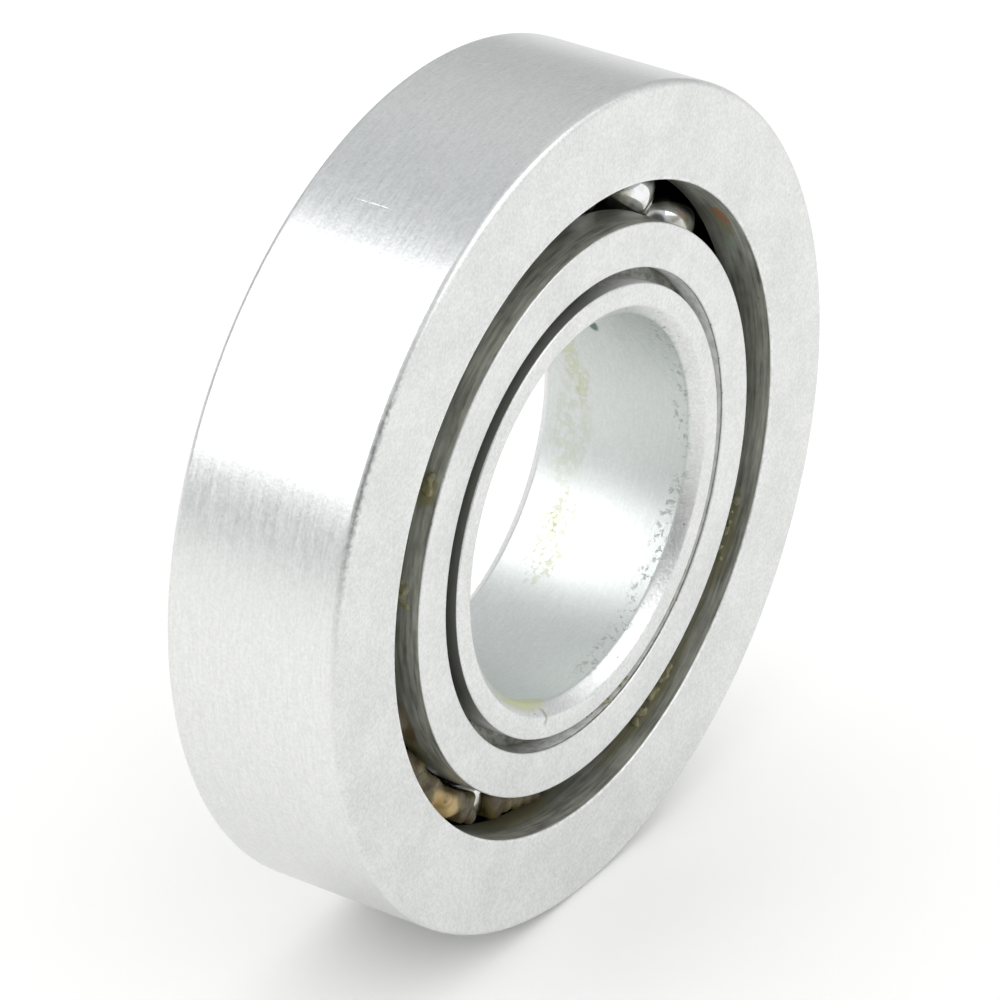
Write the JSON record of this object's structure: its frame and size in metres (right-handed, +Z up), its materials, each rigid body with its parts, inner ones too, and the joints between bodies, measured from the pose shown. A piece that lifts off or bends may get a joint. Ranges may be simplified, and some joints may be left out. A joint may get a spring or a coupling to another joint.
{
  "type": "radial ball bearing",
  "caption": "Full complement radial ball bearing with a one-piece outer ring, a split inner race on a sleeve, open at both faces, standing on its rim.",
  "frame": {"origin": "middle of the bearing, on its axis of rotation and half way between its faces", "axes": "+Y along the axis of rotation, from the front face to the rear face; +Z up, so that the bearing stands on its rim; +X across"},
  "size_m": [0.035, 0.0078, 0.035],
  "materials": {
    "ring_steel": "bright zinc plate over turned steel, satin",
    "race_steel": "frosted zinc plate, matt",
    "sleeve_steel": "turned steel, satin, with traces of grease",
    "ball_steel": "polished hardened steel"
  },
  "bodies": {
    "outer": {"outer_ring": "ring_steel"},
    "inner": {"inner_sleeve": "sleeve_steel", "front_inner_race": "race_steel", "rear_inner_race": "race_steel"},
    "ball_set": {"ball_01": "ball_steel", "ball_02": "ball_steel", "ball_03": "ball_steel", "ball_04": "ball_steel", "ball_05": "ball_steel", "ball_06": "ball_steel", "ball_07": "ball_steel", "ball_08": "ball_steel", "ball_09": "ball_steel", "ball_10": "ball_steel", "ball_11": "ball_steel", "ball_12": "ball_steel", "ball_13": "ball_steel", "ball_14": "ball_steel", "ball_15": "ball_steel", "ball_16": "ball_steel", "ball_17": "ball_steel", "ball_18": "ball_steel", "ball_19": "ball_steel"}
  },
  "joints": [
    {"name": "inner_spin", "type": "hinge", "parent": "outer", "child": "inner", "pos_m": [0, 0, 0], "axis": [0, 1, 0], "continuous": true},
    {"name": "ball_orbit", "type": "hinge", "parent": "outer", "child": "ball_set", "pos_m": [0, 0, 0], "axis": [0, 1, 0], "continuous": true}
  ],
  "couplings": [
    {"joint": "ball_orbit", "follows": "inner_spin", "ratio": 0.4213}
  ]
}
